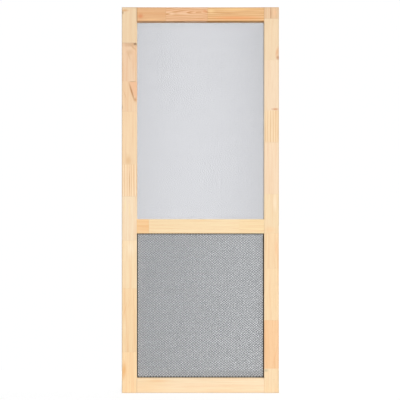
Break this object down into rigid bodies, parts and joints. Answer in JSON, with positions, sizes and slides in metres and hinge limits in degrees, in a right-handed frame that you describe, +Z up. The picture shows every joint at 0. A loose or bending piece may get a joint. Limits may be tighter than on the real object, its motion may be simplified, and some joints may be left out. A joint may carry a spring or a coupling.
{
  "type": "wooden screen door",
  "caption": "Unfinished pine screen door slab: finger-jointed stiles and rails, a fine insect screen above the mid rail and a diamond pet grille over a screen below it.",
  "frame": {"origin": "foot of the hinge edge: the bottom of the left stile's outer edge, at the middle of the door's thickness", "axes": "+X across the door from the hinge edge to the latch edge, +Y from the front face to the back face, +Z up"},
  "size_m": [0.8287, 0.0286, 2.032],
  "materials": {
    "stile_pine": "bare planed pine, finger-jointed",
    "rail_pine": "bare planed pine, finger-jointed",
    "stop_pine": "bare moulded pine strip",
    "screen_wire": "charcoal-coated woven wire, satin",
    "grey_wire": "light grey-coated heavy woven wire, satin",
    "grille_metal": "grey-coated expanded metal, satin",
    "bedding_tape": "black closed-cell foam tape, matt",
    "sealant_bead": "black sealant bead, matt"
  },
  "bodies": {
    "root": {"bottom_rail": "rail_pine", "grille_bead": "sealant_bead", "grille_bedding": "bedding_tape", "left_stile_block_1": "stile_pine", "left_stile_block_2": "stile_pine", "left_stile_block_3": "stile_pine", "left_stile_block_4": "stile_pine", "left_stile_block_5": "stile_pine", "left_stile_block_6": "stile_pine", "left_stile_block_7": "stile_pine", "left_stile_block_8": "stile_pine", "left_stile_block_9": "stile_pine", "lower_screen": "grey_wire", "lower_stop_bottom": "stop_pine", "lower_stop_left": "stop_pine", "lower_stop_right": "stop_pine", "lower_stop_top": "stop_pine", "mid_rail_block_1": "rail_pine", "mid_rail_block_2": "rail_pine", "mid_rail_block_3": "rail_pine", "pet_grille": "grille_metal", "right_stile_block_1": "stile_pine", "right_stile_block_10": "stile_pine", "right_stile_block_2": "stile_pine", "right_stile_block_3": "stile_pine", "right_stile_block_4": "stile_pine", "right_stile_block_5": "stile_pine", "right_stile_block_6": "stile_pine", "right_stile_block_7": "stile_pine", "right_stile_block_8": "stile_pine", "right_stile_block_9": "stile_pine", "top_rail_block_1": "rail_pine", "top_rail_block_2": "rail_pine", "top_rail_block_3": "rail_pine", "upper_screen": "screen_wire", "upper_stop_bottom": "stop_pine", "upper_stop_left": "stop_pine", "upper_stop_right": "stop_pine", "upper_stop_top": "stop_pine"}
  },
  "joints": []
}
